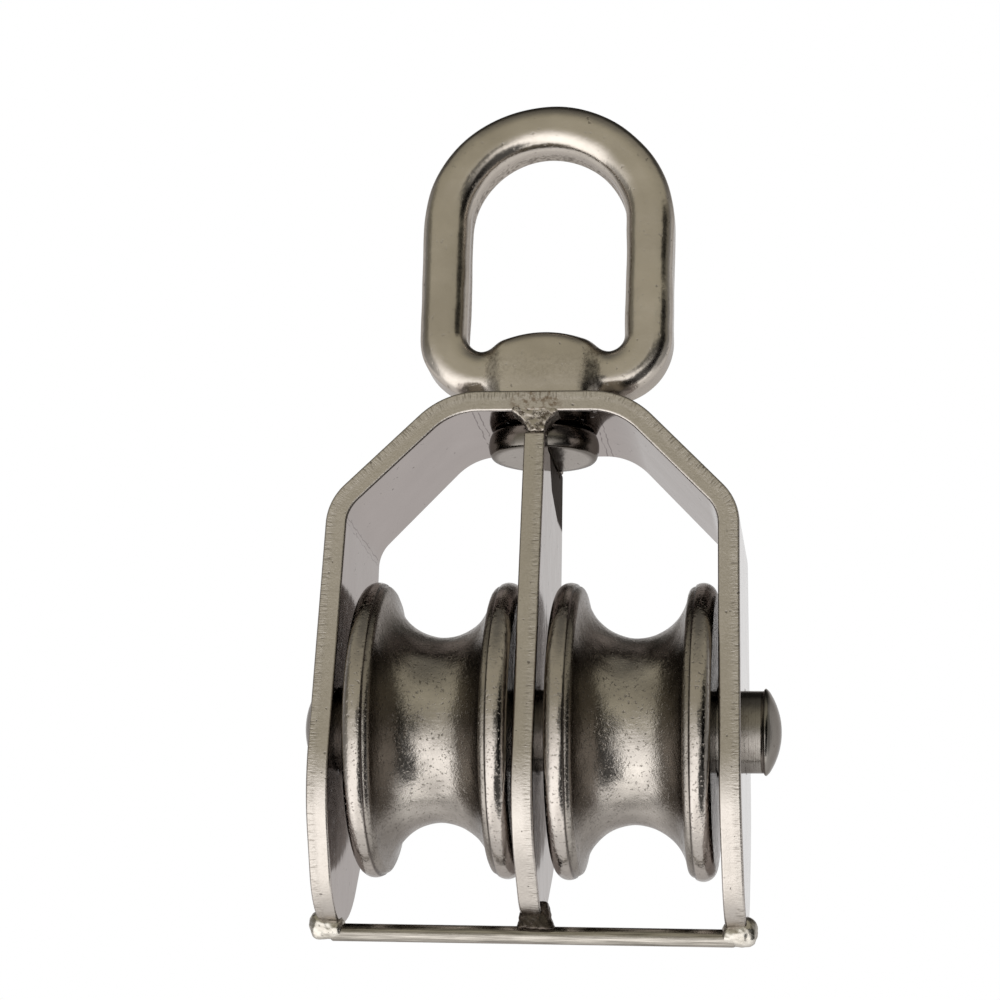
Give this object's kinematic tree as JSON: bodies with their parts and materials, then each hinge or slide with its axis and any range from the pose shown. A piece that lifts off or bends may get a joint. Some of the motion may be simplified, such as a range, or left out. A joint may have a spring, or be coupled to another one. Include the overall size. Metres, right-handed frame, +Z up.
{
  "type": "double sheave block with swivel eye",
  "caption": "Small stainless rope block: two grooved sheaves side by side on one axle, in a bent strap frame with a centre plate and guard rod, hung from a swivel eye.",
  "frame": {"origin": "the point where the eye bears on its hook: the middle of the underside of the eye's arch", "axes": "+Z up along the swivel axis, towards the hook; +X along the sheaves' axle, towards its domed head; +Y towards the back, square to the axle"},
  "size_m": [0.0515, 0.032, 0.0941],
  "materials": {
    "strap_steel": "polished stainless faces with fine scratches, sheared edges",
    "plate_steel": "polished stainless faces with fine scratches, sheared edges",
    "cast_sheave": "cast stainless, grainy groove, tumbled bright rims",
    "cast_eye": "cast stainless, satin tumbled, grainy inside",
    "pin_steel": "turned stainless, polished",
    "axle_steel": "turned stainless, polished",
    "rod_steel": "drawn stainless wire, bright",
    "bright_weld": "ground and tumbled weld bead",
    "crown_weld": "weld ground flush, brownish, with small pits",
    "dark_weld": "unground weld with dark heat tint and small pits"
  },
  "bodies": {
    "eye": {"swivel_eye": "cast_eye", "swivel_pin": "pin_steel"},
    "frame": {"strap_frame": "strap_steel", "centre_plate": "plate_steel", "axle": "axle_steel", "guard_rod": "rod_steel", "front_crown_weld": "crown_weld", "rear_crown_weld": "crown_weld", "left_rod_weld": "bright_weld", "right_rod_weld": "bright_weld", "centre_rod_weld": "dark_weld"},
    "left_wheel": {"left_sheave": "cast_sheave"},
    "right_wheel": {"right_sheave": "cast_sheave"}
  },
  "joints": [
    {"name": "swivel", "type": "hinge", "parent": "eye", "child": "frame", "pos_m": [0, 0, -0.0328], "axis": [0, 0, 1], "continuous": true},
    {"name": "left_sheave_spin", "type": "hinge", "parent": "frame", "child": "left_wheel", "pos_m": [-0.01015, 0, -0.0658], "axis": [1, 0, 0], "continuous": true},
    {"name": "right_sheave_spin", "type": "hinge", "parent": "frame", "child": "right_wheel", "pos_m": [0.01085, 0, -0.0658], "axis": [1, 0, 0], "continuous": true}
  ]
}
